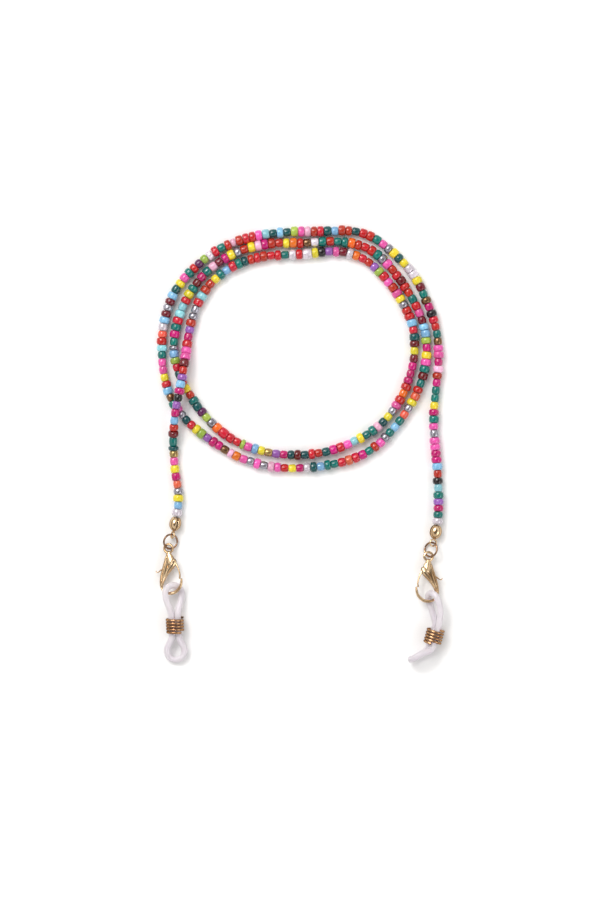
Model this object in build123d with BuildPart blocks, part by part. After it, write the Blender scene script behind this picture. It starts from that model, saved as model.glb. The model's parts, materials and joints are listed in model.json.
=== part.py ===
"""Beaded eyeglasses chain: a strand of glass seed beads wound in two and a half loose turns, and at each
end a clamshell bead tip, a jump ring, a lobster clasp and a silicone temple loop gripped by a wire coil.

Millimetres, +Z up. The strap lies flat on Z = 0, and the origin is the middle of its footprint."""

from build123d import *
from math import atan2, cos, degrees, pi, radians, sin, tan
import os

os.makedirs("parts", exist_ok=True)

# ---------------------------------------------------------------- driving dimensions
BEAD_RADIUS = 1.43
BEAD_HOLE_RADIUS = 0.5
BEAD_LENGTH = 1.98
SHORT_BEAD_LENGTH = 1.35
LONG_BEAD_LENGTH = 2.7
BEAD_CORNER = 0.58
BEAD_MOUTH_CORNER = 0.12
BEAD_TILT = 0.03
BEAD_OFFSET = 0.06
BEAD_RADIUS_SPREAD = 0.04
BEAD_LENGTH_SPREAD = 0.10
THREAD_RADIUS = 0.25
STRAND_HEIGHT = 1.5
CROSSING_HEIGHT = 4.75
TIP_HEIGHT = 1.78
END_GAP = 0.15
THREAD_IN_TIP = 2.75

TIP_RADIUS = 1.75
TIP_WIDEST = 2.15
TIP_LENGTH = 4.4
TIP_WALL = 0.28
TIP_HOLE_RADIUS = 0.42
SEAM_WIDTH = 0.24
EYE_RADIUS = 1.0
EYE_WIRE_RADIUS = 0.25
EYE_AT = 5.6
STEM_RADIUS = 0.34
STEM_AT = 4.25
STEM_LENGTH = 0.4
CRIMP_RADIUS = 0.8
CRIMP_LENGTH = 1.5
CRIMP_AT = 1.2
CRIMP_BITE = 0.02
CRIMP_CORNER = 0.25

RING_RADIUS = 2.15
RING_WIRE_RADIUS = 0.28
RING_SLIT = 0.08

CLASP_EYE_RADIUS = 1.27
CLASP_EYE_WIRE = 0.38
NECK_HALF = 0.34
NECK_AT = 1.15
HOOK_CENTRE = (0.55, 10.4)
HOOK_OUTER = 3.5
HOOK_INNER = 2.25
HOOK_HALF = 0.62
HOOK_NOSE = 2.4
CLASP_CORNER = 0.25
HEAD_HALF = 0.95
PIVOT = (1.25, 4.1)
HEAD_RADIUS = 1.4
PIN_RADIUS = 0.28
PIN_HOLE_RADIUS = 0.30
PIN_CORNER = 0.06
PIN_SHORT = 0.03
LEVER_HOLE_RADIUS = 0.34
LEVER_HUB_RADIUS = 1.0
LEVER_HALF = 0.3
SLOT_HALF = 0.36
GATE_HALF = 0.5
GATE_REACH = 5.05
HOOK_TIP_REACH = 5.2
GATE_CLEAR_RADIUS = 1.75
SPRING_THICKNESS = 0.12
SPRING_HALF = 0.25

LOOP_TUBE_RADIUS = 0.95
LOOP_HALF_SPACING = 0.975
LOOP_CORNER_SHARE = 0.44
COIL_WIRE_RADIUS = 0.375
COIL_RADIUS = 2.37
COIL_PITCH = 0.91
COIL_TURNS = 4.9
COIL_HEIGHT = 2.76
GRIP_TRAVEL = 0.6
GRIP_CORNER = 0.9

# ---------------------------------------------------------------- the strand's route
FLAT = STRAND_HEIGHT
OVER = CROSSING_HEIGHT
TIPS = TIP_HEIGHT
# from inside the left bead tip, over the two turns that it crosses, round two and a half turns, to the
# inside of the right bead tip
ROUTE = [
    (-37.10, -24.20, TIPS), (-36.00, -19.30, TIPS), (-36.00, -13.40, FLAT), (-37.10, -7.20, FLAT),
    (-37.65, 0.00, FLAT), (-37.20, 8.30, OVER), (-34.40, 21.80, OVER), (-33.40, 30.00, FLAT),
    (-31.90, 38.60, FLAT), (-27.60, 47.40, FLAT), (-20.80, 53.20, FLAT), (-11.60, 56.60, FLAT),
    (0.50, 56.90, FLAT), (10.30, 58.10, FLAT), (16.00, 57.30, FLAT), (20.70, 55.10, FLAT),
    (24.70, 51.40, FLAT), (30.90, 43.60, FLAT), (34.90, 34.60, FLAT), (34.60, 24.20, FLAT),
    (31.00, 13.80, FLAT), (24.60, 5.40, FLAT), (15.60, 0.20, FLAT), (5.20, -3.10, FLAT),
    (-6.60, -3.10, FLAT), (-17.20, -0.20, FLAT), (-24.20, 4.60, FLAT), (-29.60, 10.20, FLAT),
    (-33.00, 15.60, FLAT), (-35.90, 20.90, FLAT), (-37.60, 27.40, FLAT), (-37.00, 35.00, FLAT),
    (-34.00, 43.60, FLAT), (-28.40, 51.40, FLAT), (-20.00, 57.40, FLAT), (-9.40, 60.50, FLAT),
    (2.00, 60.30, FLAT), (13.00, 61.20, FLAT), (21.60, 58.90, FLAT), (28.60, 52.20, FLAT),
    (34.20, 43.80, FLAT), (38.10, 34.80, FLAT), (38.50, 25.00, FLAT), (35.60, 15.00, FLAT),
    (29.80, 6.20, FLAT), (22.60, -1.60, FLAT), (13.00, -5.60, FLAT), (1.60, -7.20, FLAT),
    (-8.80, -6.90, FLAT), (-18.40, -3.80, FLAT), (-25.40, 0.60, FLAT), (-32.00, 5.40, FLAT),
    (-37.00, 11.00, FLAT), (-40.00, 18.20, FLAT), (-41.20, 27.00, FLAT), (-40.70, 36.40, FLAT),
    (-37.80, 45.40, FLAT), (-32.00, 52.60, FLAT), (-24.00, 59.00, FLAT), (-13.60, 62.60, FLAT),
    (-2.60, 63.90, FLAT), (8.80, 63.85, FLAT), (15.00, 64.40, FLAT), (21.60, 62.70, FLAT),
    (27.60, 58.40, FLAT), (34.60, 51.20, FLAT), (38.40, 43.00, FLAT), (41.60, 34.60, FLAT),
    (42.10, 24.20, FLAT), (40.70, 13.80, FLAT), (40.30, 4.40, FLAT), (41.50, -5.00, FLAT),
    (41.80, -14.00, FLAT), (42.10, -21.40, TIPS), (40.90, -26.60, TIPS),
]

# ---------------------------------------------------------------- the beads' colours
COLOURS = {
    "R": "red", "C": "coral", "O": "orange", "T": "teal", "D": "dark_teal", "P": "hot_pink",
    "M": "magenta", "V": "violet", "U": "purple", "L": "light_pink", "W": "pearl", "B": "sky_blue",
    "A": "aqua", "Y": "yellow", "G": "lime", "N": "maroon", "X": "black", "S": "silver", "Z": "gold",
    "Q": "bronze",
}
# one letter per bead, from the left end to the right: a small letter is a short bead, + makes it long
BEAD_ORDER = (
    "WBYSCMYPZdT+NRBMVXMBVRNPP" "RMVRSSRARRYTBRTDRRRRR" "TWRW+YXVPNWORRVGRPRPYSRRBRD"
    "NYNMMMRORPSYDLTTYAPRMDRRDN" "DMVZYBPgRRR+OSGUDTRYRDRGBs" "TMTRAARYTNMTLNMYSRYLMRRYO"
    "RQWTRTTORRRTSPRRNRRTRPNBBGMY" "PTNTRCYSCTBTSPRTMRCRTTBDWMYRPL"
    "SPSPOlQMMVGYRDSPTQBRYPPTARCW" "BNSNBDYPTRUGWRTRlRRRPADBDG"
    "PLRRDBRRDRRTPSYDYWWYNTQMXRRTQPP" "MLRMTTYMTPSPPMMBRXATVMTW"
)

# ---------------------------------------------------------------- where each end's pieces lie
# heading is degrees from -Y towards +X, roll lifts the side of the clasp's gate
ENDS = {
    "left": {
        "side": 1, "tip_turn": 65, "ring_heading": -17, "ring_pitch": 1, "ring_roll": -26,
        "clasp_heading": 1.6, "clasp_pitch": 4.4, "clasp_roll": 14,
        "coil_centre": (-37.0, -54.0, COIL_HEIGHT), "coil_heading": 3, "coil_roll": 0,
        "upper_lobe": [
            (-39.85, -45.80, 4.40), (-39.90, -43.20, 4.25), (-38.00, -41.90, 2.95),
            (-35.70, -42.50, 1.45), (-34.80, -44.90, 1.20),
        ],
        "lower_lobe": [
            (-34.00, -61.00, 2.15), (-34.50, -63.50, 1.50), (-36.80, -64.70, 1.10),
            (-39.20, -63.50, 1.50), (-39.60, -61.00, 2.15),
        ],
    },
    "right": {
        "side": -1, "tip_turn": 20, "ring_heading": -19, "ring_pitch": 1, "ring_roll": -36,
        "clasp_heading": 0.8, "clasp_pitch": 4.4, "clasp_roll": 6,
        "coil_centre": (40.45, -57.3, COIL_HEIGHT), "coil_heading": -15.5, "coil_roll": 55,
        "upper_lobe": [
            (39.75, -49.20, 1.05), (38.55, -45.75, 0.98), (39.30, -44.10, 3.05),
            (40.80, -44.80, 4.70), (42.00, -47.20, 4.75), (42.35, -50.20, 4.30),
        ],
        "lower_lobe": [
            (36.90, -62.30, 5.40), (34.70, -63.60, 5.20), (33.20, -64.40, 3.20),
            (34.40, -63.90, 1.20), (36.70, -62.80, 1.00),
        ],
    },
}


def corner_radii(points, share=0.45):
    """The largest radius that each corner's two runs allow."""
    radii = []
    for before, corner, after in zip(points, points[1:], points[2:]):
        arriving = Vector(*corner) - Vector(*before)
        leaving = Vector(*after) - Vector(*corner)
        half_turn = radians(arriving.get_angle(leaving)) / 2
        radii.append(share * min(arriving.length, leaving.length) / tan(half_turn))
    return radii


def chain_plane(origin, heading, pitch=0, roll=0, side=1):
    """Y runs along the chain, away from the strand, and X points to the side of the clasp's gate."""
    h, p, r = radians(heading), radians(pitch), radians(roll)
    along = Vector(sin(h) * cos(p), -cos(h) * cos(p), sin(p))
    level = Vector(cos(h), sin(h), 0) * side
    upright = level.cross(along)
    if upright.Z < 0:
        upright = upright * -1
    across = level * cos(r) + upright * sin(r)
    return Plane(origin=origin, x_dir=across, z_dir=across.cross(along))


def save(part, name):
    part.label = name
    export_step(part, f"parts/{name}.step")


# ---------------------------------------------------------------- thread
ROUTE_RADII = corner_radii(ROUTE)
with BuildPart() as thread:
    with BuildLine() as route:
        FilletPolyline(*ROUTE, radius=ROUTE_RADII)
    route_wire = route.wires()[0]
    with BuildSketch(Plane(origin=route_wire @ 0, z_dir=route_wire % 0)):
        Circle(THREAD_RADIUS)
    sweep(path=route_wire)
save(thread.part, "thread")
THREAD_LENGTH = route_wire.length
print("thread length", round(THREAD_LENGTH, 1), "volume over section times length",
      round(thread.part.volume / (pi * THREAD_RADIUS**2 * THREAD_LENGTH), 4))
print("corner radii", [round(r, 1) for r in ROUTE_RADII])


# ---------------------------------------------------------------- beads
def ripple(index, phase):
    """A fixed uneven number from -1 to 1 for each bead."""
    return sin(index * index * 0.37 + index * 2.1 + phase)


def bead(plane, length, radius):
    """A drilled bead with rounded ends; the plane's X runs through its hole."""
    with BuildPart() as piece:
        with BuildSketch(plane) as profile:
            with Locations((0, (BEAD_HOLE_RADIUS + radius) / 2)):
                Rectangle(length, radius - BEAD_HOLE_RADIUS)
            fillet(profile.vertices().group_by(Axis.Y)[-1], BEAD_CORNER)
            fillet(profile.vertices().group_by(Axis.Y)[0], BEAD_MOUTH_CORNER)
        revolve(axis=Axis(plane.origin, plane.x_dir))
    return piece.part.solid()


letters, lengths = [], []
for mark in BEAD_ORDER:
    if mark == "+":
        lengths[-1] = LONG_BEAD_LENGTH
        continue
    size = SHORT_BEAD_LENGTH if mark.islower() else BEAD_LENGTH
    lengths.append(size + BEAD_LENGTH_SPREAD * ripple(len(letters), 0.3))
    letters.append(mark.upper())

row_length = THREAD_LENGTH - 2 * (THREAD_IN_TIP + END_GAP)
gap = (row_length - sum(lengths)) / (len(lengths) - 1)
print("beads", len(lengths), "gap", round(gap, 4))

groups = {letter: [] for letter in COLOURS}
reached = THREAD_IN_TIP + END_GAP
for index, (letter, length) in enumerate(zip(letters, lengths)):
    middle = reached + length / 2
    reached += length + gap
    centre = route_wire.position_at(middle / THREAD_LENGTH)
    along = route_wire.tangent_at(middle / THREAD_LENGTH)
    sideways = along.cross(Vector(0, 0, 1)).normalized()
    tilted = (along + sideways * BEAD_TILT * ripple(index, 1.9)).normalized()
    centre = centre + sideways * BEAD_OFFSET * ripple(index, 4.2)
    plane = Plane(origin=centre, x_dir=tilted, z_dir=tilted.cross(sideways))
    radius = BEAD_RADIUS + BEAD_RADIUS_SPREAD * ripple(index, 2.7)
    groups[letter].append(bead(plane, length, radius))

for letter, colour in COLOURS.items():
    save(Compound(groups[letter]), f"beads_{colour}")


# ---------------------------------------------------------------- bead tip and its crimp
# every piece below is drawn with +Y along the chain, away from the strand, and is then laid at each end
def bead_tip():
    """A clamshell of two cups on a common hinge, with a seam between them and a wire eye."""
    seam_length = 3.5
    crown = TIP_LENGTH - TIP_WALL
    with BuildPart() as tip:
        with BuildSketch():
            with BuildLine():
                outer = ThreePointArc((0.85, 0), (TIP_RADIUS, TIP_WIDEST), (0.5, TIP_LENGTH))
                closing = Line(outer @ 1, (0, TIP_LENGTH))
                inside = Line(closing @ 1, (0, crown))
                inner = ThreePointArc((0.35, crown), (TIP_RADIUS - TIP_WALL, TIP_WIDEST), (0.75, TIP_WALL))
                Line(inside @ 1, inner @ 0)
                floor = Line(inner @ 1, (TIP_HOLE_RADIUS, TIP_WALL))
                hole = Line(floor @ 1, (TIP_HOLE_RADIUS, 0))
                Line(hole @ 1, outer @ 0)
            make_face()
        revolve(axis=Axis.Y)
        with BuildSketch():
            with Locations((0, seam_length / 2 + 0.5)):
                Rectangle(4 * TIP_RADIUS, seam_length)
        extrude(amount=SEAM_WIDTH / 2, both=True, mode=Mode.SUBTRACT)
        with BuildSketch(Plane.YZ):
            with Locations((EYE_AT + EYE_RADIUS, 0)):
                Circle(EYE_WIRE_RADIUS)
        revolve(axis=Axis((0, EYE_AT, 0), (0, 0, 1)))
        with BuildSketch(Plane(origin=(0, STEM_AT, 0), z_dir=(0, 1, 0))):
            Circle(STEM_RADIUS)
        extrude(amount=STEM_LENGTH)
    return tip.part


def crimp():
    """The little tube squeezed on the thread's end inside the clamshell."""
    with BuildPart() as tube:
        with BuildSketch(Plane(origin=(0, CRIMP_AT, 0), z_dir=(0, 1, 0))):
            Circle(CRIMP_RADIUS)
            Circle(THREAD_RADIUS - CRIMP_BITE, mode=Mode.SUBTRACT)
        extrude(amount=CRIMP_LENGTH)
        fillet(tube.edges().filter_by(GeomType.CIRCLE).sort_by(SortBy.RADIUS)[-2:], CRIMP_CORNER)
    return tube.part


def jump_ring():
    """A ring bent from round wire, with its cut at the side; its centre is at the origin."""
    with BuildPart() as ring:
        with BuildSketch(Plane.YZ):
            with Locations((RING_RADIUS, 0)):
                Circle(RING_WIRE_RADIUS)
        revolve(axis=Axis.Z)
        with BuildSketch():
            with Locations((RING_RADIUS, 0)):
                Rectangle(3 * RING_WIRE_RADIUS, RING_SLIT)
        extrude(amount=2 * RING_WIRE_RADIUS, both=True, mode=Mode.SUBTRACT)
    return ring.part


# ---------------------------------------------------------------- clasp
# its end ring's centre is at the origin, and the gate is on the +X side
def clasp_body():
    """A one-piece claw: end ring, slotted head, spine and hook."""
    hook_x, hook_y = HOOK_CENTRE
    left, right = hook_x - HOOK_OUTER, hook_x + HOOK_OUTER
    nose_y = hook_y - HOOK_NOSE
    hook_end = hook_y + HOOK_OUTER + 1
    with BuildPart() as body:
        with BuildSketch():
            with BuildLine():
                back = Spline((-0.8, NECK_AT), (-1.2, 3.6), (-2.35, 7.2), (left, hook_y),
                              tangents=[(0.05, 1), (0, 1)])
                bottom = ThreePointArc(back @ 1, (hook_x, hook_y + HOOK_OUTER), (right, hook_y))
                nose = Line(bottom @ 1, (right, nose_y))
                nose_end = Line(nose @ 1, (hook_x + HOOK_INNER, nose_y))
                inside = Line(nose_end @ 1, (hook_x + HOOK_INNER, hook_y))
                throat = ThreePointArc(inside @ 1, (hook_x, hook_y + HOOK_INNER),
                                       (hook_x - HOOK_INNER, hook_y))
                belly = Spline(throat @ 1, (-1.2, 8.6), (-0.1, 6.9), (0.8, 5.5),
                               tangents=[(0, -1), (0.5, -1)])
                Line(belly @ 1, PIVOT)
                Line(PIVOT, (0.8, NECK_AT))
                Line((0.8, NECK_AT), back @ 0)
            make_face()
            # the hook's tip stops just short of the gate's swing
            with BuildLine():
                gate_sweep = CenterArc(PIVOT, HOOK_TIP_REACH, 10, 70)
                Line(gate_sweep @ 0, PIVOT)
                Line(PIVOT, gate_sweep @ 1)
            make_face(mode=Mode.SUBTRACT)
            with Locations(PIVOT):
                Circle(HEAD_RADIUS)
        extrude(amount=HEAD_HALF, both=True)
        # the head swells, and the neck and hook are slimmer
        with BuildSketch(Plane.YZ):
            with BuildLine():
                swell = Spline((NECK_AT, NECK_HALF), (2.0, 0.66), (4.2, HEAD_HALF), (6.6, 0.84),
                               (9.6, HOOK_HALF), (hook_end, HOOK_HALF))
                mirror(swell, about=Plane.XZ)
                Line((NECK_AT, NECK_HALF), (NECK_AT, -NECK_HALF))
                Line((hook_end, HOOK_HALF), (hook_end, -HOOK_HALF))
            make_face()
        extrude(amount=2 * HOOK_OUTER, both=True, mode=Mode.INTERSECT)
        upper = body.edges().filter_by(lambda e: (e @ 0).Z > 0.1 and (e @ 1).Z > 0.1)
        lower = body.edges().filter_by(lambda e: (e @ 0).Z < -0.1 and (e @ 1).Z < -0.1)
        rims = (upper + lower).filter_by(lambda e: max((e @ 0).Y, (e @ 1).Y) > NECK_AT + 0.05)
        fillet(rims, CLASP_CORNER)
        # end ring
        with BuildSketch(Plane.YZ):
            with Locations((CLASP_EYE_RADIUS, 0)):
                Circle(CLASP_EYE_WIRE)
        revolve(axis=Axis.Z)
        # slot for the lever: its hub, its thumb arm's swing, and the spring's pocket
        with BuildSketch():
            with Locations(PIVOT):
                Circle(HEAD_RADIUS + 0.1)
            with BuildLine():
                Polyline((1.6, 4.6), (-3.1, 7.7), (-4.6, 4.6), (-0.75, 3.6), (-0.6, 2.7), (0.95, 2.6),
                         close=True)
            make_face()
        extrude(amount=SLOT_HALF, both=True, mode=Mode.SUBTRACT)
        with BuildSketch():
            with Locations(PIVOT):
                Circle(PIN_HOLE_RADIUS)
        extrude(amount=2 * HEAD_HALF, both=True, mode=Mode.SUBTRACT)
    return body.part


def clasp_pin():
    with BuildPart() as pin:
        with BuildSketch():
            with Locations(PIVOT):
                Circle(PIN_RADIUS)
        extrude(amount=HEAD_HALF - PIN_SHORT, both=True)
        chamfer(pin.edges().filter_by(GeomType.CIRCLE), PIN_CORNER)
    return pin.part


def gate_outline():
    """The gate's face, from the hub to the hook's tip."""
    pivot_x, pivot_y = PIVOT
    with BuildSketch() as gate:
        with BuildLine():
            outside = ThreePointArc((pivot_x + 0.95, pivot_y), (3.25, 6.2), (4.05, 9.2))
            top = Line(outside @ 1, (2.85, 9.4))
            inside = ThreePointArc(top @ 1, (2.35, 7.0), (pivot_x + 0.2, pivot_y + 0.6))
            Line(inside @ 1, outside @ 0)
        make_face()
    return gate.sketch


def clasp_lever():
    """The bell crank: a gate that closes the hook, a hub on the pin, and a thumb tab past the spine."""
    pivot_x, pivot_y = PIVOT
    with BuildPart() as lever:
        with BuildSketch():
            with Locations(PIVOT):
                Circle(LEVER_HUB_RADIUS)
            add(gate_outline())
            with BuildLine():
                lower = ThreePointArc((pivot_x + 0.3, pivot_y + 0.5), (-1.2, 6.15), (-3.35, 7.15))
                tab = ThreePointArc(lower @ 1, (-3.85, 7.2), (-4.15, 6.85))
                tab_end = Line(tab @ 1, (-3.8, 6.5))
                tab_inside = ThreePointArc(tab_end @ 1, (-3.6, 6.7), (-3.3, 6.55))
                upper = ThreePointArc(tab_inside @ 1, (-1.35, 5.35), (pivot_x - 0.6, pivot_y - 0.5))
                Line(upper @ 1, lower @ 0)
            make_face()
        extrude(amount=LEVER_HALF, both=True)
        # outside the head the gate is nearly as deep as the hook
        with BuildSketch():
            add(gate_outline())
            with Locations(PIVOT):
                Circle(GATE_CLEAR_RADIUS, mode=Mode.SUBTRACT)
        extrude(amount=GATE_HALF, both=True)
        with BuildSketch():
            with Locations(PIVOT):
                Circle(2 * GATE_REACH)
                Circle(GATE_REACH, mode=Mode.SUBTRACT)
                Circle(LEVER_HOLE_RADIUS)
            with Locations((-GATE_REACH - 1, pivot_y)):
                Rectangle(2 * GATE_REACH + 2, 3 * GATE_REACH, mode=Mode.SUBTRACT)
        extrude(amount=2 * GATE_HALF, both=True, mode=Mode.SUBTRACT)
    return lever.part


def clasp_spring():
    """The bent leaf that pushes on the thumb arm and so holds the gate shut."""
    with BuildPart() as leaf:
        with BuildSketch():
            with BuildLine():
                curve = ThreePointArc((0.7, 2.8), (-0.25, 3.3), (-0.8, 4.5))
            trace(curve, SPRING_THICKNESS)
        extrude(amount=SPRING_HALF, both=True)
    return leaf.part


# ---------------------------------------------------------------- temple loop and its coil
def wire_coil():
    """Close turns of round wire about the Y axis, with their middle at the origin."""
    height = COIL_PITCH * COIL_TURNS
    with BuildPart() as coil:
        with BuildLine():
            turns = Helix(COIL_PITCH, height, COIL_RADIUS, center=(0, -height / 2, 0), direction=(0, 1, 0))
        with BuildSketch(Plane(origin=turns @ 0, z_dir=turns % 0)):
            Circle(COIL_WIRE_RADIUS)
        sweep(path=turns, is_frenet=True)
    return coil.part


def temple_loop(end, plane):
    """One closed silicone cord: over and under the hook, side by side through the coil, and a free lobe."""
    half_grip = COIL_PITCH * COIL_TURNS / 2 + COIL_WIRE_RADIUS + GRIP_TRAVEL + GRIP_CORNER

    def grip(along, across):
        return tuple(plane.from_local_coords((across * LOOP_HALF_SPACING, along * half_grip, 0)))

    halves = (
        [grip(0, -1), grip(-1, -1)] + end["upper_lobe"] + [grip(-1, 1), grip(0, 1)],
        [grip(0, 1), grip(1, 1)] + end["lower_lobe"] + [grip(1, -1), grip(0, -1)],
    )
    length = 0
    with BuildPart() as loop:
        for points in halves:
            radii = corner_radii(points, LOOP_CORNER_SHARE)
            with BuildLine() as line:
                FilletPolyline(*points, radius=radii)
            wire = line.wires()[0]
            with BuildSketch(Plane(origin=wire @ 0, z_dir=wire % 0)):
                Circle(LOOP_TUBE_RADIUS)
            sweep(path=wire)
            length += wire.length
            print("temple loop radii", [round(r, 2) for r in radii])
    print("temple loop length", round(length, 2), "volume over section times length",
          round(loop.part.volume / (pi * LOOP_TUBE_RADIUS**2 * length), 4))
    return loop.part


# ---------------------------------------------------------------- both ends
TIP, CRIMP, RING, COIL = bead_tip(), crimp(), jump_ring(), wire_coil()
CLASP = {"body": clasp_body(), "pin": clasp_pin(), "lever": clasp_lever(), "spring": clasp_spring()}
for name, end in ENDS.items():
    side = end["side"]
    thread_end, next_point = (ROUTE[0], ROUTE[1]) if name == "left" else (ROUTE[-1], ROUTE[-2])
    outward = (Vector(*thread_end) - Vector(*next_point)).normalized()
    face = Vector(*thread_end) - outward * THREAD_IN_TIP
    tip_plane = chain_plane(face, degrees(atan2(outward.X, -outward.Y)), 0, end["tip_turn"], side)
    save(tip_plane.location * TIP, f"{name}_bead_tip")
    save(tip_plane.location * CRIMP, f"{name}_crimp")

    eye = tip_plane.origin + tip_plane.y_dir * EYE_AT
    ring_plane = chain_plane(eye, end["ring_heading"], end["ring_pitch"], end["ring_roll"], side)
    ring_plane = ring_plane.shift_origin(eye + ring_plane.y_dir * RING_RADIUS)
    save(ring_plane.location * RING, f"{name}_jump_ring")

    clasp_eye = ring_plane.origin + ring_plane.y_dir * RING_RADIUS
    clasp_plane = chain_plane(clasp_eye, end["clasp_heading"], end["clasp_pitch"], end["clasp_roll"], side)
    for label, piece in CLASP.items():
        save(clasp_plane.location * piece, f"{name}_clasp_{label}")

    grip_plane = chain_plane(end["coil_centre"], end["coil_heading"], 0, end["coil_roll"])
    save(temple_loop(end, grip_plane), f"{name}_temple_loop")
    save(grip_plane.location * COIL, f"{name}_wire_coil")

    hook = clasp_plane.from_local_coords((*HOOK_CENTRE, 0))
    pivot = clasp_plane.from_local_coords((*PIVOT, 0))
    for label, point, axis in (
        ("tip swivel", face, tip_plane.y_dir), ("ring swing", eye, tip_plane.z_dir),
        ("clasp swing", clasp_eye, clasp_plane.z_dir), ("lever", pivot, clasp_plane.z_dir),
        ("loop swing", hook, clasp_plane.z_dir), ("coil slide", grip_plane.origin, grip_plane.y_dir),
    ):
        print(name, label, [round(c / 1000, 6) for c in point], [round(c, 6) for c in axis])
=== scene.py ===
"""Eyeglasses chain strap: glass seed beads on their thread, gold-plated tips, rings and lobster clasps, and
silicone temple loops in wire coils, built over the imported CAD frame. Metres, +Z up.
The camera looks straight down."""

from bisect import bisect_right
from math import cos, hypot, pi, radians, sin
import json
import bpy
import bmesh
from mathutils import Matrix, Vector


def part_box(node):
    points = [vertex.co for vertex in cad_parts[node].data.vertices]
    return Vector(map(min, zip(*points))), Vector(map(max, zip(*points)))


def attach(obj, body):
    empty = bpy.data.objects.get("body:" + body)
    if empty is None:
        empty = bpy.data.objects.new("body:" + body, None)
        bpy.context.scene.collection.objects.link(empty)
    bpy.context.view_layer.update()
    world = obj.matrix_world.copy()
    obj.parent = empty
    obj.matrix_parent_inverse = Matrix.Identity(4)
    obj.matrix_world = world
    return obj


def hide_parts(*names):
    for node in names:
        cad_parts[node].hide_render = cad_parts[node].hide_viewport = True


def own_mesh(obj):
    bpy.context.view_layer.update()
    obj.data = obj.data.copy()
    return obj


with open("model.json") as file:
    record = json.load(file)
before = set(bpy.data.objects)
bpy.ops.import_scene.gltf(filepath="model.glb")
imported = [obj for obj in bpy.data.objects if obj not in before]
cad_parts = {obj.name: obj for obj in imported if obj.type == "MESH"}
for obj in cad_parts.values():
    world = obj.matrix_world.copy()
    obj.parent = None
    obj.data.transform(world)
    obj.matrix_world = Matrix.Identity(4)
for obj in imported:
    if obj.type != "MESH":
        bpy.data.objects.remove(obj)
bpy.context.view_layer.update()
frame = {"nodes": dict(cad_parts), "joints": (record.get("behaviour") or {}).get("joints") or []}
NODES = frame["nodes"]
JOINTS = {joint["name"]: joint for joint in frame["joints"]}
MM = 0.001

# ---------------------------------------------------------------- camera
VIEW_WIDTH, VIEW_HEIGHT = 0.180, 0.270
VIEW_CENTRE = (0.0004, -0.0016)
CAMERA_HEIGHT = 0.90

camera_data = bpy.data.cameras.new("camera")
camera_data.lens_unit = "MILLIMETERS"
camera_data.sensor_fit = "VERTICAL"
camera_data.sensor_height = 36
camera_data.lens = camera_data.sensor_height * CAMERA_HEIGHT / VIEW_HEIGHT
camera_data.clip_start = 0.05
camera = bpy.data.objects.new("camera", camera_data)
camera.location = (*VIEW_CENTRE, CAMERA_HEIGHT)
bpy.context.collection.objects.link(camera)
bpy.context.scene.camera = camera
bpy.context.scene.view_settings.view_transform = "Standard"

# ---------------------------------------------------------------- the strand's route
FLAT, OVER, TIPS = 0.00150, 0.00475, 0.00178
THREAD_DIAMETER = 0.0005
ROUTE = [
    (-0.03710, -0.02420, TIPS), (-0.03600, -0.01930, TIPS), (-0.03600, -0.01340, FLAT),
    (-0.03710, -0.00720, FLAT), (-0.03765, 0.00000, FLAT), (-0.03720, 0.00830, OVER),
    (-0.03440, 0.02180, OVER), (-0.03340, 0.03000, FLAT), (-0.03190, 0.03860, FLAT),
    (-0.02760, 0.04740, FLAT), (-0.02080, 0.05320, FLAT), (-0.01160, 0.05660, FLAT),
    (0.00050, 0.05690, FLAT), (0.01030, 0.05810, FLAT), (0.01600, 0.05730, FLAT),
    (0.02070, 0.05510, FLAT), (0.02470, 0.05140, FLAT), (0.03090, 0.04360, FLAT),
    (0.03490, 0.03460, FLAT), (0.03460, 0.02420, FLAT), (0.03100, 0.01380, FLAT),
    (0.02460, 0.00540, FLAT), (0.01560, 0.00020, FLAT), (0.00520, -0.00310, FLAT),
    (-0.00660, -0.00310, FLAT), (-0.01720, -0.00020, FLAT), (-0.02420, 0.00460, FLAT),
    (-0.02960, 0.01020, FLAT), (-0.03300, 0.01560, FLAT), (-0.03590, 0.02090, FLAT),
    (-0.03760, 0.02740, FLAT), (-0.03700, 0.03500, FLAT), (-0.03400, 0.04360, FLAT),
    (-0.02840, 0.05140, FLAT), (-0.02000, 0.05740, FLAT), (-0.00940, 0.06050, FLAT),
    (0.00200, 0.06030, FLAT), (0.01300, 0.06120, FLAT), (0.02160, 0.05890, FLAT),
    (0.02860, 0.05220, FLAT), (0.03420, 0.04380, FLAT), (0.03810, 0.03480, FLAT),
    (0.03850, 0.02500, FLAT), (0.03560, 0.01500, FLAT), (0.02980, 0.00620, FLAT),
    (0.02260, -0.00160, FLAT), (0.01300, -0.00560, FLAT), (0.00160, -0.00720, FLAT),
    (-0.00880, -0.00690, FLAT), (-0.01840, -0.00380, FLAT), (-0.02540, 0.00060, FLAT),
    (-0.03200, 0.00540, FLAT), (-0.03700, 0.01100, FLAT), (-0.04000, 0.01820, FLAT),
    (-0.04120, 0.02700, FLAT), (-0.04070, 0.03640, FLAT), (-0.03780, 0.04540, FLAT),
    (-0.03200, 0.05260, FLAT), (-0.02400, 0.05900, FLAT), (-0.01360, 0.06260, FLAT),
    (-0.00260, 0.06390, FLAT), (0.00880, 0.06385, FLAT), (0.01500, 0.06440, FLAT),
    (0.02160, 0.06270, FLAT), (0.02760, 0.05840, FLAT), (0.03460, 0.05120, FLAT),
    (0.03840, 0.04300, FLAT), (0.04160, 0.03460, FLAT), (0.04210, 0.02420, FLAT),
    (0.04070, 0.01380, FLAT), (0.04030, 0.00440, FLAT), (0.04150, -0.00500, FLAT),
    (0.04180, -0.01400, FLAT), (0.04210, -0.02140, TIPS), (0.04090, -0.02660, TIPS),
]

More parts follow.
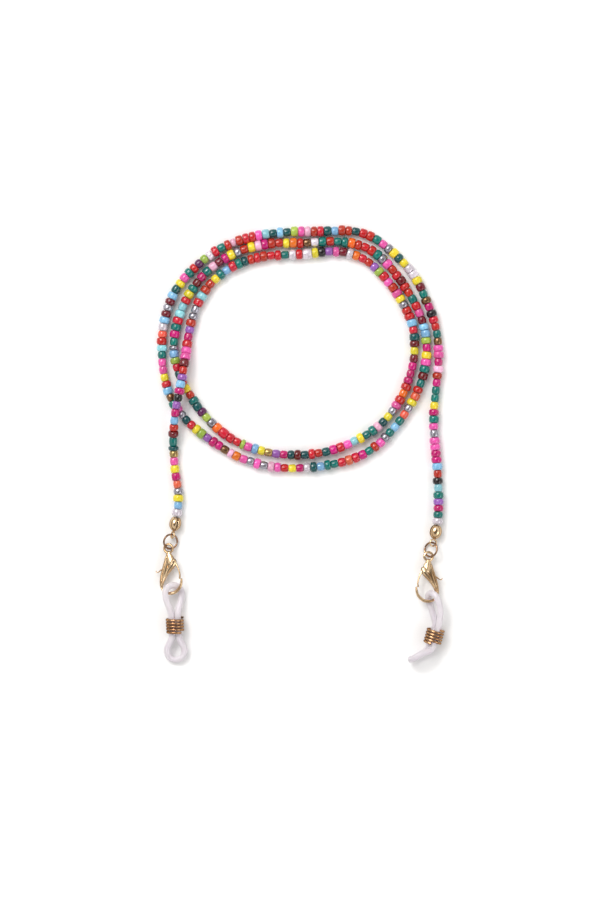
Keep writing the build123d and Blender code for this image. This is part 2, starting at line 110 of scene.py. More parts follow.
# one letter per bead, from the left end to the right: a small letter is a short bead, + makes it long
BEAD_ORDER = (
    "WBYSCMYPZdT+NRBMVXMBVRNPP" "RMVRSSRARRYTBRTDRRRRR" "TWRW+YXVPNWORRVGRPRPYSRRBRD"
    "NYNMMMRORPSYDLTTYAPRMDRRDN" "DMVZYBPgRRR+OSGUDTRYRDRGBs" "TMTRAARYTNMTLNMYSRYLMRRYO"
    "RQWTRTTORRRTSPRRNRRTRPNBBGMY" "PTNTRCYSCTBTSPRTMRCRTTBDWMYRPL"
    "SPSPOlQMMVGYRDSPTQBRYPPTARCW" "BNSNBDYPTRUGWRTRlRRRPADBDG"
    "PLRRDBRRDRRTPSYDYWWYNTQMXRRTQPP" "MLRMTTYMTPSPPMMBRXATVMTW"
)


def link(obj):
    bpy.context.collection.objects.link(obj)
    return obj


def route_curve(name, bevel):
    """The thread's line, with the route's points as its control points."""
    curve = bpy.data.curves.new(name, "CURVE")
    curve.dimensions = "3D"
    curve.resolution_u = 24
    curve.bevel_depth = bevel
    curve.bevel_resolution = 3
    curve.use_fill_caps = True
    spline = curve.splines.new("NURBS")
    spline.points.add(len(ROUTE) - 1)
    for point, place in zip(spline.points, ROUTE):
        point.co = (*place, 1)
    spline.order_u = 3
    spline.use_endpoint_u = True
    return link(bpy.data.objects.new(name, curve))


def evaluated_mesh(obj):
    depsgraph = bpy.context.evaluated_depsgraph_get()
    return bpy.data.meshes.new_from_object(obj.evaluated_get(depsgraph))


class Line:
    """Places and directions along the smooth route, by distance from its left end."""

    def __init__(self):
        guide = route_curve("guide", 0)
        mesh = evaluated_mesh(guide)
        self.points = [vertex.co.copy() for vertex in mesh.vertices]
        bpy.data.objects.remove(guide)
        self.reach = [0]
        for a, b in zip(self.points, self.points[1:]):
            self.reach.append(self.reach[-1] + (b - a).length)

    def at(self, distance):
        index = min(bisect_right(self.reach, distance), len(self.points) - 1)
        a, b = self.points[index - 1], self.points[index]
        share = (distance - self.reach[index - 1]) / (self.reach[index] - self.reach[index - 1])
        return a.lerp(b, share)


LINE = Line()

# ---------------------------------------------------------------- materials
def srgb(red, green, blue):
    """A screen colour as the linear colour that the shaders use."""
    return tuple(
        c / 12.92 if c <= 0.04045 else ((c + 0.055) / 1.055) ** 2.4 for c in (red, green, blue)
    ) + (1,)


def new_material(name, base, **inputs):
    material = bpy.data.materials.new(name)
    material.use_nodes = True
    shader = material.node_tree.nodes["Principled BSDF"]
    shader.inputs["Base Color"].default_value = base
    for socket, value in inputs.items():
        shader.inputs[socket.replace("_", " ")].default_value = value
    return material, material.node_tree.nodes, material.node_tree.links, shader


def noise_node(nodes, links, scale, detail=2, coordinates="Object"):
    place = nodes.new("ShaderNodeTexCoord")
    noise = nodes.new("ShaderNodeTexNoise")
    noise.inputs["Scale"].default_value = scale
    noise.inputs["Detail"].default_value = detail
    links.new(place.outputs[coordinates], noise.inputs["Vector"])
    return noise


def add_bump(nodes, links, shader, scale, strength, distance):
    noise = noise_node(nodes, links, scale, 3)
    bump = nodes.new("ShaderNodeBump")
    bump.inputs["Strength"].default_value = strength
    bump.inputs["Distance"].default_value = distance
    links.new(noise.outputs["Fac"], bump.inputs["Height"])
    links.new(bump.outputs["Normal"], shader.inputs["Normal"])


def add_two_tone(nodes, links, shader, scale, light, dark, low=0.35, high=0.65):
    """Soft patches between two tones of the colour."""
    noise = noise_node(nodes, links, scale)
    ramp = nodes.new("ShaderNodeValToRGB")
    ramp.color_ramp.elements[0].position = low
    ramp.color_ramp.elements[0].color = dark
    ramp.color_ramp.elements[1].position = high
    ramp.color_ramp.elements[1].color = light
    links.new(noise.outputs["Fac"], ramp.inputs["Fac"])
    links.new(ramp.outputs["Color"], shader.inputs["Base Color"])
    return ramp


def add_roughness_noise(nodes, links, shader, scale, low, high):
    noise = noise_node(nodes, links, scale)
    span = nodes.new("ShaderNodeMapRange")
    span.inputs["To Min"].default_value = low
    span.inputs["To Max"].default_value = high
    links.new(noise.outputs["Fac"], span.inputs["Value"])
    links.new(span.outputs["Result"], shader.inputs["Roughness"])


def shade(colour, factor):
    return (*(min(1, c * factor) for c in colour[:3]), 1)


def bead_material(name, colour, kind):
    """Glass whose tone differs a little from bead to bead and within each bead."""
    settings = {
        "glass": {"Metallic": 0, "Coat_Weight": 0.35, "Coat_Roughness": 0.04, "Subsurface_Weight": 0.06},
        "pearl": {"Metallic": 0.25, "Coat_Weight": 0.8, "Coat_Roughness": 0.1, "Subsurface_Weight": 0.1},
        "metal": {"Metallic": 0.85, "Coat_Weight": 0.3, "Coat_Roughness": 0.08, "Subsurface_Weight": 0},
    }[kind]
    material, nodes, links, shader = new_material(name, colour, IOR=1.52, **settings)
    shader.inputs["Subsurface Scale"].default_value = 0.0006
    shader.inputs["Subsurface Radius"].default_value = (1, 1, 1)
    ramp = add_two_tone(nodes, links, shader, 900, shade(colour, 1.12), shade(colour, 0.86))
    tone = nodes.new("ShaderNodeHueSaturation")
    island = nodes.new("ShaderNodeNewGeometry")
    value = nodes.new("ShaderNodeMapRange")
    value.inputs["To Min"].default_value = 0.82
    value.inputs["To Max"].default_value = 1.14
    hue = nodes.new("ShaderNodeMapRange")
    hue.inputs["To Min"].default_value = 0.508
    hue.inputs["To Max"].default_value = 0.492
    links.new(island.outputs["Random Per Island"], value.inputs["Value"])
    links.new(island.outputs["Random Per Island"], hue.inputs["Value"])
    links.new(value.outputs["Result"], tone.inputs["Value"])
    links.new(hue.outputs["Result"], tone.inputs["Hue"])
    links.new(ramp.outputs["Color"], tone.inputs["Color"])
    links.new(tone.outputs["Color"], shader.inputs["Base Color"])
    low, high = (0.10, 0.22) if kind == "glass" else (0.18, 0.34)
    add_roughness_noise(nodes, links, shader, 700, low, high)
    add_bump(nodes, links, shader, 1400, 0.12, 0.00004)
    return material


GOLD_RIM = srgb(0.40, 0.30, 0.22)


def gold_material(name, light, dark, low, high):
    material, nodes, links, shader = new_material(name, light, Metallic=1.0, Specular_Tint=GOLD_RIM)
    add_two_tone(nodes, links, shader, 260, light, dark)
    add_roughness_noise(nodes, links, shader, 600, low, high)
    add_bump(nodes, links, shader, 2500, 0.06, 0.00002)
    return material


GOLD = gold_material("gold_plate", srgb(0.92, 0.81, 0.66), srgb(0.80, 0.66, 0.50), 0.08, 0.17)
RING_GOLD = gold_material("ring_gold", srgb(0.68, 0.54, 0.42), srgb(0.48, 0.36, 0.28), 0.10, 0.20)
COIL_GOLD = gold_material("coil_gold", srgb(0.82, 0.66, 0.50), srgb(0.66, 0.49, 0.35), 0.12, 0.24)
STEEL = gold_material("spring_steel", srgb(0.72, 0.72, 0.72), srgb(0.60, 0.60, 0.62), 0.22, 0.36)

SILICONE, nodes, links, shader = new_material(
    "silicone", srgb(0.95, 0.925, 0.945), Subsurface_Weight=0.6, Transmission_Weight=0.35, IOR=1.41,
    Subsurface_Scale=0.0015, Subsurface_Radius=(1, 0.95, 1),
)
add_two_tone(nodes, links, shader, 180, srgb(0.96, 0.935, 0.955), srgb(0.925, 0.90, 0.925))
add_roughness_noise(nodes, links, shader, 500, 0.28, 0.42)
add_bump(nodes, links, shader, 1800, 0.08, 0.00003)

THREAD, nodes, links, shader = new_material("thread", srgb(0.88, 0.86, 0.84), Sheen_Weight=0.3)
place = nodes.new("ShaderNodeTexCoord")
plies = nodes.new("ShaderNodeTexWave")
plies.inputs["Scale"].default_value = 1400
plies.inputs["Distortion"].default_value = 1.5
links.new(place.outputs["Object"], plies.inputs["Vector"])
ramp = nodes.new("ShaderNodeValToRGB")
ramp.color_ramp.elements[0].color = srgb(0.72, 0.70, 0.68)
ramp.color_ramp.elements[1].color = srgb(0.93, 0.91, 0.89)
links.new(plies.outputs["Fac"], ramp.inputs["Fac"])
links.new(ramp.outputs["Color"], shader.inputs["Base Color"])
add_roughness_noise(nodes, links, shader, 900, 0.55, 0.75)

BEAD_COLOURS = {
    "R": ("red", srgb(0.74, 0.09, 0.09), "glass"), "C": ("coral", srgb(0.86, 0.36, 0.26), "glass"),
    "O": ("orange", srgb(0.92, 0.42, 0.10), "glass"), "T": ("teal", srgb(0.0, 0.43, 0.40), "glass"),
    "D": ("dark_teal", srgb(0.0, 0.29, 0.30), "glass"), "P": ("hot_pink", srgb(0.88, 0.33, 0.64), "glass"),
    "M": ("magenta", srgb(0.74, 0.05, 0.42), "glass"), "V": ("violet", srgb(0.58, 0.35, 0.68), "glass"),
    "U": ("purple", srgb(0.36, 0.10, 0.32), "glass"), "L": ("light_pink", srgb(0.91, 0.68, 0.79), "glass"),
    "W": ("pearl", srgb(0.86, 0.82, 0.86), "pearl"), "B": ("sky_blue", srgb(0.50, 0.71, 0.86), "glass"),
    "A": ("aqua", srgb(0.55, 0.80, 0.84), "glass"), "Y": ("yellow", srgb(0.90, 0.82, 0.18), "glass"),
    "G": ("lime", srgb(0.62, 0.72, 0.28), "glass"), "N": ("maroon", srgb(0.42, 0.03, 0.10), "glass"),
    "X": ("black", srgb(0.08, 0.06, 0.08), "glass"), "S": ("silver", srgb(0.66, 0.65, 0.69), "metal"),
    "Z": ("gold", srgb(0.72, 0.60, 0.38), "metal"), "Q": ("bronze", srgb(0.52, 0.38, 0.26), "metal"),
}

# ---------------------------------------------------------------- thread
thread = route_curve("thread_line", THREAD_DIAMETER / 2)
thread.data.materials.append(THREAD)
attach(thread, "strand")
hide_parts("thread")

# ---------------------------------------------------------------- beads
BEAD_LENGTH, SHORT_BEAD, LONG_BEAD = 1.98 * MM, 1.35 * MM, 2.7 * MM
BEAD_RADIUS, BEAD_HOLE = 1.49 * MM, 0.46 * MM
THREAD_IN_TIP, END_GAP = 2.75 * MM, 0.15 * MM
PROFILE_STEPS, ROUND_STEPS = 22, 26
LENGTH_SPREAD, RADIUS_SPREAD, SMALLER = 0.11, 0.10 * MM, 0.16 * MM
SIDE_OFFSET, TILT, END_SKEW = 0.06 * MM, 0.03, 0.035
ROUNDNESS, ROUNDNESS_SPREAD = 0.92, 0.13
# the glass takes up this share of the gap to the next bead
GAP_TAKEN = 0.5


def ripple(index, phase):
    """A fixed uneven number from -1 to 1 for each bead."""
    return sin(index * index * 0.37 + index * 2.1 + phase)


def signed_power(value, power):
    return abs(value) ** power * (1 if value >= 0 else -1)


def bead_profile(length, radius, squareness):
    """(along, out) round the glass, from the hole's wall over one rim, the outside and the other rim."""
    middle, half_wall = (radius + BEAD_HOLE) / 2, (radius - BEAD_HOLE) / 2
    profile = []
    for step in range(PROFILE_STEPS):
        turn = 2 * pi * step / PROFILE_STEPS
        along = signed_power(cos(turn), squareness) * length / 2
        profile.append((along, middle + signed_power(sin(turn), squareness * 0.9) * half_wall))
    return profile


def add_bead(mesh, index, centre, along, length, radius):
    """One drilled bead with a soft rim; its end faces are a little skewed, as cut glass tube is."""
    sideways = along.cross(Vector((0, 0, 1))).normalized()
    upward = sideways.cross(along)
    skew, skew_turn = END_SKEW * ripple(index, 0.9), pi * ripple(index, 3.3)
    squareness = ROUNDNESS + ROUNDNESS_SPREAD * ripple(index, 5.1)
    rings = []
    for step in range(ROUND_STEPS):
        turn = 2 * pi * step / ROUND_STEPS
        outward = sideways * cos(turn) + upward * sin(turn)
        lean = 1 + skew * cos(turn - skew_turn)
        rings.append([
            mesh.verts.new(centre + along * run * lean + outward * out)
            for run, out in bead_profile(length, radius, squareness)
        ])
    for ring, following in zip(rings, rings[1:] + rings[:1]):
        for step in range(PROFILE_STEPS):
            after = (step + 1) % PROFILE_STEPS
            face = mesh.faces.new((ring[step], following[step], following[after], ring[after]))
            face.smooth = True


letters, lengths = [], []
for mark in BEAD_ORDER:
    if mark == "+":
        lengths[-1] = LONG_BEAD
        continue
    size = SHORT_BEAD if mark.islower() else BEAD_LENGTH
    lengths.append(size * (1 + LENGTH_SPREAD * ripple(len(letters), 0.3)))
    letters.append(mark.upper())
row = LINE.reach[-1] - 2 * (THREAD_IN_TIP + END_GAP)
gap = (row - sum(lengths)) / (len(lengths) - 1)

bead_meshes = {letter: bmesh.new() for letter in BEAD_COLOURS}
reached = THREAD_IN_TIP + END_GAP
for index, (letter, length) in enumerate(zip(letters, lengths)):
    start, end = LINE.at(reached), LINE.at(reached + length)
    reached += length + gap
    along = (end - start).normalized()
    sideways = along.cross(Vector((0, 0, 1))).normalized()
    centre = (start + end) / 2 + sideways * SIDE_OFFSET * ripple(index, 4.2)
    along = (along + sideways * TILT * ripple(index, 1.9)).normalized()
    radius = BEAD_RADIUS + RADIUS_SPREAD * ripple(index, 2.7) - SMALLER * max(0, ripple(index, 6.0))
    centre.z += max(0, radius - FLAT)
    visible = length + gap * GAP_TAKEN
    add_bead(bead_meshes[letter], index, centre, along, visible, radius)

for letter, (colour, screen, kind) in BEAD_COLOURS.items():
    bmesh.ops.recalc_face_normals(bead_meshes[letter], faces=bead_meshes[letter].faces)
    mesh = bpy.data.meshes.new(f"glass_{colour}")
    bead_meshes[letter].to_mesh(mesh)
    bead_meshes[letter].free()
    group = link(bpy.data.objects.new(f"glass_{colour}", mesh))
    mesh.materials.append(bead_material(f"glass_{colour}", screen, kind))
    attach(group, "strand")
    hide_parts(f"beads_{colour}")


# ---------------------------------------------------------------- gold pieces
BALL_STEP = 0.22
CLAW_VOXEL, CLAW_ROUNDS = 0.00007, 5
LEVER_VOXEL, LEVER_ROUNDS = 0.000045, 3
SLOT_HALF = 0.40 * MM
EYE_RADIUS, EYE_WIRE, EYE_DEPTH, EYE_STEPS = 1.27, 0.38, 0.42, 12
HOOK_CENTRE = (0.55, 10.4)

# the clamshell's cups, the stem between them and its wire eye
CUP_STEPS, CUP_MOUTH, CUP_HINGE, SEAM_TAPER = 20, 0.42, 0.16, 6
CUP_RADIUS, CUP_HALF, CUP_WALL, SEAM_HALF = 1.74 * MM, 2.2 * MM, 0.26 * MM, 0.22 * MM
STEM_PROFILE = ((0.20, 0), (0.55, 0), (0.32, 0.3), (0.30, 0.6), (0.10, 0.7))
STEM_STEPS = 24
TIP_EYE_RADIUS, TIP_EYE_WIRE = 1.0 * MM, 0.25 * MM
TIP_EYE_SIDES, TIP_EYE_STEPS = 12, 36

# The clasp in its own plane: u towards the gate's side, v from the end ring to the hook. Each stroke of its
# modelling is a list of stations, (u, v, half width, half depth) in millimetres.
END_RING = [
    (EYE_RADIUS * cos(turn * pi / EYE_STEPS), EYE_RADIUS * sin(turn * pi / EYE_STEPS), EYE_WIRE, EYE_DEPTH)
    for turn in range(2 * EYE_STEPS + 1)
]
DOMED_HEAD = [
    (0, 1.35, 0.62, 0.48), (0.10, 2.1, 0.95, 0.72), (0.40, 3.1, 1.28, 0.92), (0.75, 4.2, 1.40, 1.00),
]
BACK_AND_HOOK = [
    (-0.25, 1.9, 0.46, 0.60), (-0.85, 3.3, 0.46, 0.82), (-1.40, 5.0, 0.42, 0.86), (-1.98, 6.7, 0.38, 0.76),
    (-2.45, 8.5, 0.36, 0.64), (-2.65, 10.2, 0.34, 0.54), (-2.45, 11.6, 0.34, 0.48), (-1.75, 12.7, 0.38, 0.48),
    (-0.70, 13.3, 0.44, 0.50), (0.55, 13.42, 0.50, 0.52), (1.70, 13.15, 0.50, 0.52),
    (2.75, 12.35, 0.48, 0.52), (3.45, 11.35, 0.44, 0.52), (3.76, 10.2, 0.38, 0.50), (3.82, 9.3, 0.30, 0.46),
]
WEB = [
    (-0.40, 3.2, 0.80, 0.62), (-0.70, 5.0, 0.80, 0.62), (-1.20, 6.8, 0.62, 0.58), (-1.80, 8.6, 0.48, 0.52),
    (-2.15, 10.2, 0.36, 0.46), (-2.20, 11.3, 0.30, 0.42),
]
BELLY = [
    (1.40, 3.9, 1.05, 0.90), (1.15, 4.9, 0.96, 1.02), (0.45, 5.9, 0.78, 0.98), (-0.40, 7.1, 0.60, 0.86),
    (-1.25, 8.4, 0.50, 0.72), (-1.90, 9.8, 0.40, 0.58), (-2.20, 11.0, 0.34, 0.48),
]
RIDGE = [
    (1.30, 3.6, 0.36, 1.20), (0.85, 4.6, 0.36, 1.28), (0.05, 5.8, 0.32, 1.20), (-0.75, 7.3, 0.26, 1.02),
    (-1.65, 9.0, 0.20, 0.80), (-2.15, 10.4, 0.18, 0.66),
]
CLAW = [END_RING, DOMED_HEAD, BACK_AND_HOOK, WEB, BELLY, RIDGE]

HUB = [(1.25, 4.1, 0.94, 0.29)]
GATE = [
    (1.9, 4.3, 0.46, 0.29), (2.55, 5.3, 0.30, 0.29), (3.10, 6.7, 0.24, 0.32), (3.36, 8.0, 0.22, 0.40),
    (3.28, 8.95, 0.28, 0.42),
]
THUMB_ARM = [
    (0.9, 4.5, 0.50, 0.27), (-0.6, 5.35, 0.38, 0.26), (-2.0, 6.1, 0.27, 0.26), (-3.0, 6.75, 0.19, 0.26),
    (-3.45, 7.02, 0.15, 0.26), (-3.85, 6.98, 0.14, 0.26), (-4.02, 6.62, 0.13, 0.24),
]
LEVER = [HUB, GATE, THUMB_ARM]

# the outline of the claw's slot, which the lever swings in
SLOT = [
    (2.9, 3.0), (2.9, 5.0), (2.4, 5.9), (1.2, 6.5), (0.2, 6.5), (-3.6, 8.6), (-4.8, 4.6), (-0.9, 3.5),
    (-0.6, 2.6), (1.3, 2.55),
]


def clasp_axes(side):
    """The end ring's centre and the clasp plane's u and v, from where the end ring and hook are centred."""
    eye = Vector(JOINTS[f"{side}_clasp_swing"]["pos_m"])
    hook = Vector(JOINTS[f"{side}_loop_swing"]["pos_m"])
    axis = Vector(JOINTS[f"{side}_clasp_swing"]["axis"]).normalized()
    along = hook - eye
    turned = axis.cross(along)
    reach = HOOK_CENTRE[0] ** 2 + HOOK_CENTRE[1] ** 2
    v = (along * HOOK_CENTRE[1] + turned * HOOK_CENTRE[0]) / reach
    u = (along * HOOK_CENTRE[0] - turned * HOOK_CENTRE[1]) / reach
    return eye, u.normalized(), v.normalized()


def lathe(mesh, profile, place, turns, closed):
    """The profile's (out, along) points swept through the turns, as a ring or as a capped half."""
    rings = [[mesh.verts.new(place(out, along, turn)) for out, along in profile] for turn in turns]
    for ring, following in zip(rings, rings[1:] + (rings[:1] if closed else [])):
        for step in range(len(profile)):
            after = (step + 1) % len(profile)
            mesh.faces.new((ring[step], following[step], following[after], ring[after])).smooth = True
    if not closed:
        mesh.faces.new(rings[0])
        mesh.faces.new(rings[-1])


def clamshell(side):
    """Two thin cups on a common hinge, closed on the crimp, with the wire eye for the jump ring."""
    face = Vector(JOINTS[f"{side}_tip_swivel"]["pos_m"])
    eye = Vector(JOINTS[f"{side}_ring_swing"]["pos_m"])
    seam = Vector(JOINTS[f"{side}_ring_swing"]["axis"]).normalized()
    down = (eye - face).normalized()
    across = down.cross(seam)
    outer, inner = [], []
    for step in range(CUP_STEPS + 1):
        turn = CUP_MOUTH + (pi - CUP_MOUTH - CUP_HINGE) * step / CUP_STEPS
        outer.append((CUP_RADIUS * sin(turn), CUP_HALF * (1 - cos(turn))))
        inner.append(((CUP_RADIUS - CUP_WALL) * sin(turn), CUP_HALF - (CUP_HALF - CUP_WALL) * cos(turn)))
    profile = outer + inner[::-1]
    mesh = bmesh.new()
    for sign in (1, -1):
        def cup(out, along, turn):
            opening = SEAM_HALF * (1 - (along / (2 * CUP_HALF)) ** SEAM_TAPER)
            bulge = opening + out * cos(turn) * (1 - SEAM_HALF / CUP_RADIUS)
            return face + down * along + seam * sign * bulge + across * out * sin(turn)

        lathe(mesh, profile, cup, [pi * (step / CUP_STEPS - 0.5) for step in range(CUP_STEPS + 1)], False)

    def stem(out, along, turn):
        return face + down * along + (seam * cos(turn) + across * sin(turn)) * out

    hinge = 2 * CUP_HALF - CUP_WALL
    stem_profile = [(out * MM, hinge + along * MM) for out, along in STEM_PROFILE]
    lathe(mesh, stem_profile, stem, [2 * pi * step / STEM_STEPS for step in range(STEM_STEPS)], True)

    def eye_wire(out, along, turn):
        spoke = down * cos(turn) + across * sin(turn)
        return eye + spoke * (TIP_EYE_RADIUS + out) + seam * along

    section = [
        (TIP_EYE_WIRE * cos(2 * pi * step / TIP_EYE_SIDES), TIP_EYE_WIRE * sin(2 * pi * step / TIP_EYE_SIDES))
        for step in range(TIP_EYE_SIDES)
    ]
    lathe(mesh, section, eye_wire, [2 * pi * step / TIP_EYE_STEPS for step in range(TIP_EYE_STEPS)], True)
    bmesh.ops.recalc_face_normals(mesh, faces=mesh.faces)
    data = bpy.data.meshes.new(f"{side}_clamshell")
    mesh.to_mesh(data)
    mesh.free()
    data.materials.append(GOLD)
    return link(bpy.data.objects.new(f"{side}_clamshell", data))


def curved(before, a, b, after, share):
    """A value on the smooth line from a to b that also heads for its neighbours."""
    bend = 2 * before - 5 * a + 4 * b - after
    twist = 3 * (a - b) + after - before
    return a + 0.5 * share * (b - before + share * (bend + share * twist))


def swept_balls(name, strokes, base, u, v):
    """One mesh of overlapping balls along the strokes' smooth lines."""
    w = u.cross(v)
    clay = bmesh.new()
    for stroke in strokes:
        last = len(stroke) - 1
        for index, a in enumerate(stroke):
            before, b = stroke[max(index - 1, 0)], stroke[min(index + 1, last)]
            after = stroke[min(index + 2, last)]
            run = hypot(b[0] - a[0], b[1] - a[1])
            count = max(1, round(run / (BALL_STEP * min(a[2], b[2]))))
            for step in range(count):
                x, y, wide, deep = (curved(*values, step / count) for values in zip(before, a, b, after))
                ball = bmesh.ops.create_icosphere(clay, subdivisions=2, radius=1)["verts"]
                for vertex in ball:
                    out = vertex.co * MM
                    sideways, lengthways = x * MM + out.x * wide, y * MM + out.y * wide
                    vertex.co = base + u * sideways + v * lengthways + w * out.z * deep
    mesh = bpy.data.meshes.new(name)
    clay.to_mesh(mesh)
    clay.free()
    return link(bpy.data.objects.new(name, mesh))


def prism(outline, base, u, v):
    """A flat-sided block round the outline, as deep as the lever's slot."""
    w = u.cross(v)
    block = bmesh.new()
    lower, upper = (
        [block.verts.new(base + u * x * MM + v * y * MM + w * depth) for x, y in outline]
        for depth in (-SLOT_HALF, SLOT_HALF)
    )
    for index in range(len(outline)):
        block.faces.new((lower[index - 1], lower[index], upper[index], upper[index - 1]))
    block.faces.new(lower)
    block.faces.new(upper)
    bmesh.ops.recalc_face_normals(block, faces=block.faces)
    mesh = bpy.data.meshes.new("slot")
    block.to_mesh(mesh)
    block.free()
    return link(bpy.data.objects.new("slot", mesh))


def sculpt(name, strokes, base, u, v, voxel, rounds, slot=None):
    """A polished casting: the strokes fused and smoothed, with a slot through its middle if one is given."""
    obj = swept_balls(name, strokes, base, u, v)
    remesh = obj.modifiers.new("remesh", "REMESH")
    remesh.mode = "VOXEL"
    remesh.voxel_size = voxel
    smooth = obj.modifiers.new("smooth", "SMOOTH")
    smooth.iterations = rounds
    smooth.factor = 0.5
    cutter = prism(slot, base, u, v) if slot else None
    if cutter:
        cut = obj.modifiers.new("slot", "BOOLEAN")
        cut.operation = "DIFFERENCE"
        cut.solver = "EXACT"
        cut.object = cutter
    mesh = evaluated_mesh(obj)
    obj.modifiers.clear()
    obj.data = mesh
    if cutter:
        bpy.data.objects.remove(cutter)
    for polygon in mesh.polygons:
        polygon.use_smooth = True
    mesh.materials.clear()
    mesh.materials.append(GOLD)
    return obj


def wire(name, points, radius, material, cyclic=False):
    """Round wire or cord along a smooth line through the points' corners."""
    curve = bpy.data.curves.new(name, "CURVE")
    curve.dimensions = "3D"
    curve.resolution_u = 8
    curve.bevel_depth = radius
    curve.bevel_resolution = 7
    curve.use_fill_caps = not cyclic
    spline = curve.splines.new("NURBS")
    spline.points.add(len(points) - 1)
    for point, place in zip(spline.points, points):
        point.co = (*place, 1)
    spline.order_u = 3
    spline.use_endpoint_u = not cyclic
    spline.use_cyclic_u = cyclic
    curve.materials.append(material)
    return link(bpy.data.objects.new(name, curve))


RING_RADIUS, RING_WIRE, RING_CUT = 2.15 * MM, 0.28 * MM, radians(3)
COIL_RADIUS, COIL_WIRE = 2.37 * MM, 0.375 * MM
COIL_PITCH, COIL_TURNS = 0.91 * MM, 4.9
LOOP_RADIUS, LOOP_HALF_SPACING, HALF_GRIP = 0.95 * MM, 0.975 * MM, 4.10 * MM
STEPS_PER_TURN = 24

# across is the direction from one strand of silicone to the other inside the coil; the lobes are in order
# round each loop, the upper one from the -across strand and the lower one from the +across strand
LOOPS = {
    "left": {
        "across": (0.99863, 0.05234, 0),
        "upper": [
            (-0.03985, -0.04580, 0.00440), (-0.03990, -0.04320, 0.00425), (-0.03800, -0.04190, 0.00295),
            (-0.03570, -0.04250, 0.00145), (-0.03480, -0.04490, 0.00120),
        ],
        "lower": [
            (-0.03400, -0.06100, 0.00215), (-0.03450, -0.06350, 0.00150), (-0.03680, -0.06470, 0.00110),
            (-0.03920, -0.06350, 0.00150), (-0.03960, -0.06100, 0.00215),
        ],
    },
    "right": {
        "across": (0.55271, -0.15328, 0.81915),
        "upper": [
            (0.03975, -0.04920, 0.00105), (0.03855, -0.04575, 0.00098), (0.03930, -0.04410, 0.00305),
            (0.04080, -0.04480, 0.00470), (0.04200, -0.04720, 0.00475), (0.04235, -0.05020, 0.00430),
        ],
        "lower": [
            (0.03690, -0.06230, 0.00540), (0.03470, -0.06360, 0.00520), (0.03320, -0.06440, 0.00320),
            (0.03440, -0.06390, 0.00120), (0.03670, -0.06280, 0.00100),
        ],
    },
}


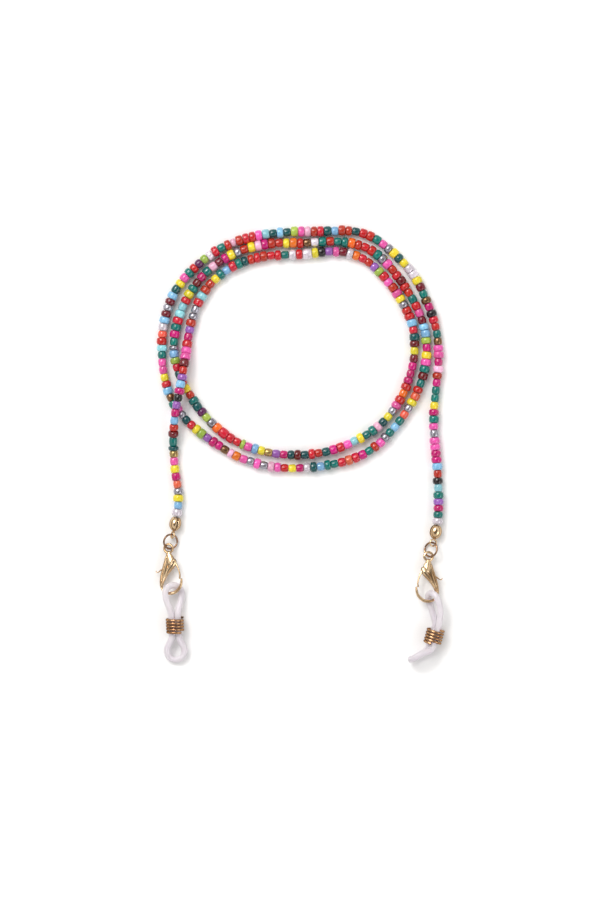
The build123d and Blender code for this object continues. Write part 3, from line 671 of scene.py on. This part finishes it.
def build_end(side):
    eye = Vector(JOINTS[f"{side}_ring_swing"]["pos_m"])
    clasp_eye = Vector(JOINTS[f"{side}_clasp_swing"]["pos_m"])
    grip = JOINTS[f"{side}_coil_slide"]
    down = Vector(grip["axis"]).normalized()

    tip = clamshell(side)
    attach(tip, f"{side}_tip")
    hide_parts(f"{side}_bead_tip")
    base, u, v = clasp_axes(side)
    body = sculpt(f"{side}_claw", CLAW, base, u, v, CLAW_VOXEL, CLAW_ROUNDS, SLOT)
    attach(body, f"{side}_clasp")
    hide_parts(f"{side}_clasp_body")
    lever = sculpt(f"{side}_gate", LEVER, base, u, v, LEVER_VOXEL, LEVER_ROUNDS)
    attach(lever, f"{side}_lever")
    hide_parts(f"{side}_clasp_lever")

    # jump ring: in the plane of its CAD ring, open by the width of a hair at its cut
    vertices = [vertex.co for vertex in NODES[f"{side}_jump_ring"].data.vertices]
    centre = (eye + clasp_eye) / 2
    towards = (clasp_eye - eye).normalized()
    far = max(vertices, key=lambda v: (v - centre - (v - centre).dot(towards) * towards).length)
    across = far - centre
    across = (across - across.dot(towards) * towards).normalized()
    points = []
    for step in range(3 * STEPS_PER_TURN + 1):
        turn = RING_CUT / 2 + (2 * pi - RING_CUT) * step / (3 * STEPS_PER_TURN)
        points.append(centre + (across * cos(turn) + towards * sin(turn)) * RING_RADIUS)
    ring = wire(f"{side}_ring_wire", points, RING_WIRE, RING_GOLD)
    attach(ring, f"{side}_ring")
    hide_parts(f"{side}_jump_ring")

    # silicone loop
    spec = LOOPS[side]
    across = Vector(spec["across"])
    low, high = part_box(f"{side}_wire_coil")
    middle = (Vector(low) + Vector(high)) / 2

    def strand(sign, upward):
        stations = (1, 0.45, -0.45, -1) if upward else (-1, -0.45, 0.45, 1)
        return [middle + across * LOOP_HALF_SPACING * sign + down * HALF_GRIP * run for run in stations]

    points = [Vector(p) for p in spec["upper"]] + strand(1, False)
    points += [Vector(p) for p in spec["lower"]] + strand(-1, True)
    loop = wire(f"{side}_silicone", points, LOOP_RADIUS, SILICONE, cyclic=True)
    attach(loop, f"{side}_loop")
    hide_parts(f"{side}_temple_loop")

    # wire coil
    start = middle - down * COIL_PITCH * COIL_TURNS / 2
    upright = across.cross(down)
    points = []
    for step in range(int(COIL_TURNS * STEPS_PER_TURN) + 1):
        turn = 2 * pi * step / STEPS_PER_TURN
        points.append(start + down * COIL_PITCH * step / STEPS_PER_TURN
                      + (across * cos(turn) + upright * sin(turn)) * COIL_RADIUS)
    coil = wire(f"{side}_coil_wire", points, COIL_WIRE, COIL_GOLD)
    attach(coil, f"{side}_coil")
    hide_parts(f"{side}_wire_coil")

    leaf = link(bpy.data.objects.new(f"{side}_leaf", NODES[f"{side}_clasp_spring"].data.copy()))
    leaf.data.materials.clear()
    leaf.data.materials.append(STEEL)
    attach(leaf, f"{side}_clasp")
    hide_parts(f"{side}_clasp_spring")
    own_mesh(leaf)
    for node in ("crimp", "clasp_pin"):
        data = NODES[f"{side}_{node}"].data
        data.materials.clear()
        data.materials.append(GOLD)


for side in ("left", "right"):
    build_end(side)

# ---------------------------------------------------------------- floor and light
floor_mesh = bpy.data.meshes.new("floor")
FLOOR_REACH = 3.0
floor_corners = [(x * FLOOR_REACH, y * FLOOR_REACH, 0) for x, y in ((-1, -1), (1, -1), (1, 1), (-1, 1))]
floor_mesh.from_pydata(floor_corners,
                       [], [(0, 1, 2, 3)])
floor = link(bpy.data.objects.new("floor", floor_mesh))
FLOOR, nodes, links, shader = new_material("floor", srgb(0.97, 0.97, 0.97), Roughness=0.7)
floor_mesh.materials.append(FLOOR)


def area_light(name, place, size, power, colour):
    data = bpy.data.lights.new(name, "AREA")
    data.shape = "DISK"
    data.size = size
    data.energy = power
    data.color = colour
    light = link(bpy.data.objects.new(name, data))
    light.location = place
    light.rotation_euler = (-Vector(place)).to_track_quat("-Z", "Y").to_euler()


area_light("key", (-0.35, 0.45, 0.85), 0.80, 6.3, (1.0, 0.99, 0.98))
area_light("spark", (-0.40, 0.55, 0.80), 0.12, 1.5, (1.0, 1.0, 1.0))
area_light("fill", (0.65, -0.35, 0.60), 0.6, 1.4, (0.97, 0.98, 1.0))

world = bpy.data.worlds.new("studio")
world.use_nodes = True
nodes, links = world.node_tree.nodes, world.node_tree.links
background = nodes["Background"]
place = nodes.new("ShaderNodeTexCoord")
split = nodes.new("ShaderNodeSeparateXYZ")
ramp = nodes.new("ShaderNodeValToRGB")
for stop, (height, level) in enumerate(((0.12, 0.03), (0.34, 1.0), (0.76, 1.0), (0.88, 0.22))):
    if stop > 1:
        ramp.color_ramp.elements.new(height)
    ramp.color_ramp.elements[stop].position = height
    ramp.color_ramp.elements[stop].color = (level, level * 0.985, level * 0.965, 1)
links.new(place.outputs["Generated"], split.inputs["Vector"])
links.new(split.outputs["Z"], ramp.inputs["Fac"])
links.new(ramp.outputs["Color"], background.inputs["Color"])
background.inputs["Strength"].default_value = 0.90
bpy.context.scene.world = world
